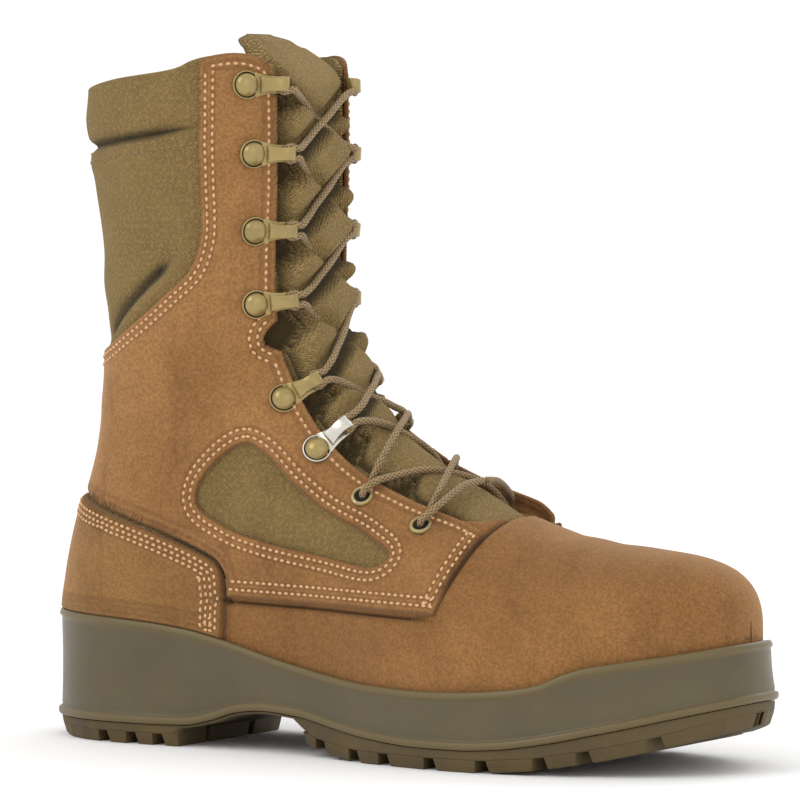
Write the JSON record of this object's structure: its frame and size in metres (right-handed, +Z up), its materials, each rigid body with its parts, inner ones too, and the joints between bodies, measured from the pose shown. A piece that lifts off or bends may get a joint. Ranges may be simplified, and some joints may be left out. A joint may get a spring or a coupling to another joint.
{
  "type": "combat boot",
  "caption": "Lace-up combat boot for the right foot in brown suede and olive cloth, with speed hooks, eyelets and a lugged rubber sole.",
  "frame": {"origin": "middle of the sole's length and width, on the floor", "axes": "+X to the toe, -Y to the outer side of the foot, +Z up"},
  "size_m": [0.302, 0.1088, 0.2711],
  "materials": {
    "upper_cloth": "woven olive cloth on the shaft and in the inset, brown suede on the vamp",
    "suede": "napped brown suede",
    "tongue_cloth": "padded woven olive cloth",
    "insole_cloth": "dark felt",
    "midsole_rubber": "smooth moulded olive rubber",
    "outsole_rubber": "moulded olive-brown rubber",
    "hook_paint": "tan paint, one hook worn bright",
    "eyelet_brass": "dull brass",
    "lace_cord": "round braid"
  },
  "bodies": {
    "root": {"upper": "upper_cloth", "quarter_lateral": "suede", "quarter_medial": "suede", "counter": "suede", "tongue": "tongue_cloth", "insole": "insole_cloth", "midsole": "midsole_rubber", "outsole": "outsole_rubber", "hook_lateral_1": "hook_paint", "hook_lateral_2": "hook_paint", "hook_lateral_3": "hook_paint", "hook_lateral_4": "hook_paint", "hook_lateral_5": "hook_paint", "hook_lateral_6": "hook_paint", "eyelet_lateral_1": "eyelet_brass", "eyelet_lateral_2": "eyelet_brass", "hook_medial_1": "hook_paint", "hook_medial_2": "hook_paint", "hook_medial_3": "hook_paint", "hook_medial_4": "hook_paint", "hook_medial_5": "hook_paint", "hook_medial_6": "hook_paint", "eyelet_medial_1": "eyelet_brass", "eyelet_medial_2": "eyelet_brass", "lace_crossing_1": "lace_cord", "lace_crossing_2": "lace_cord", "lace_crossing_3": "lace_cord", "lace_crossing_4": "lace_cord", "lace_crossing_5": "lace_cord", "lace_crossing_6": "lace_cord", "lace_crossing_7": "lace_cord", "lace_bar": "lace_cord"}
  },
  "joints": []
}
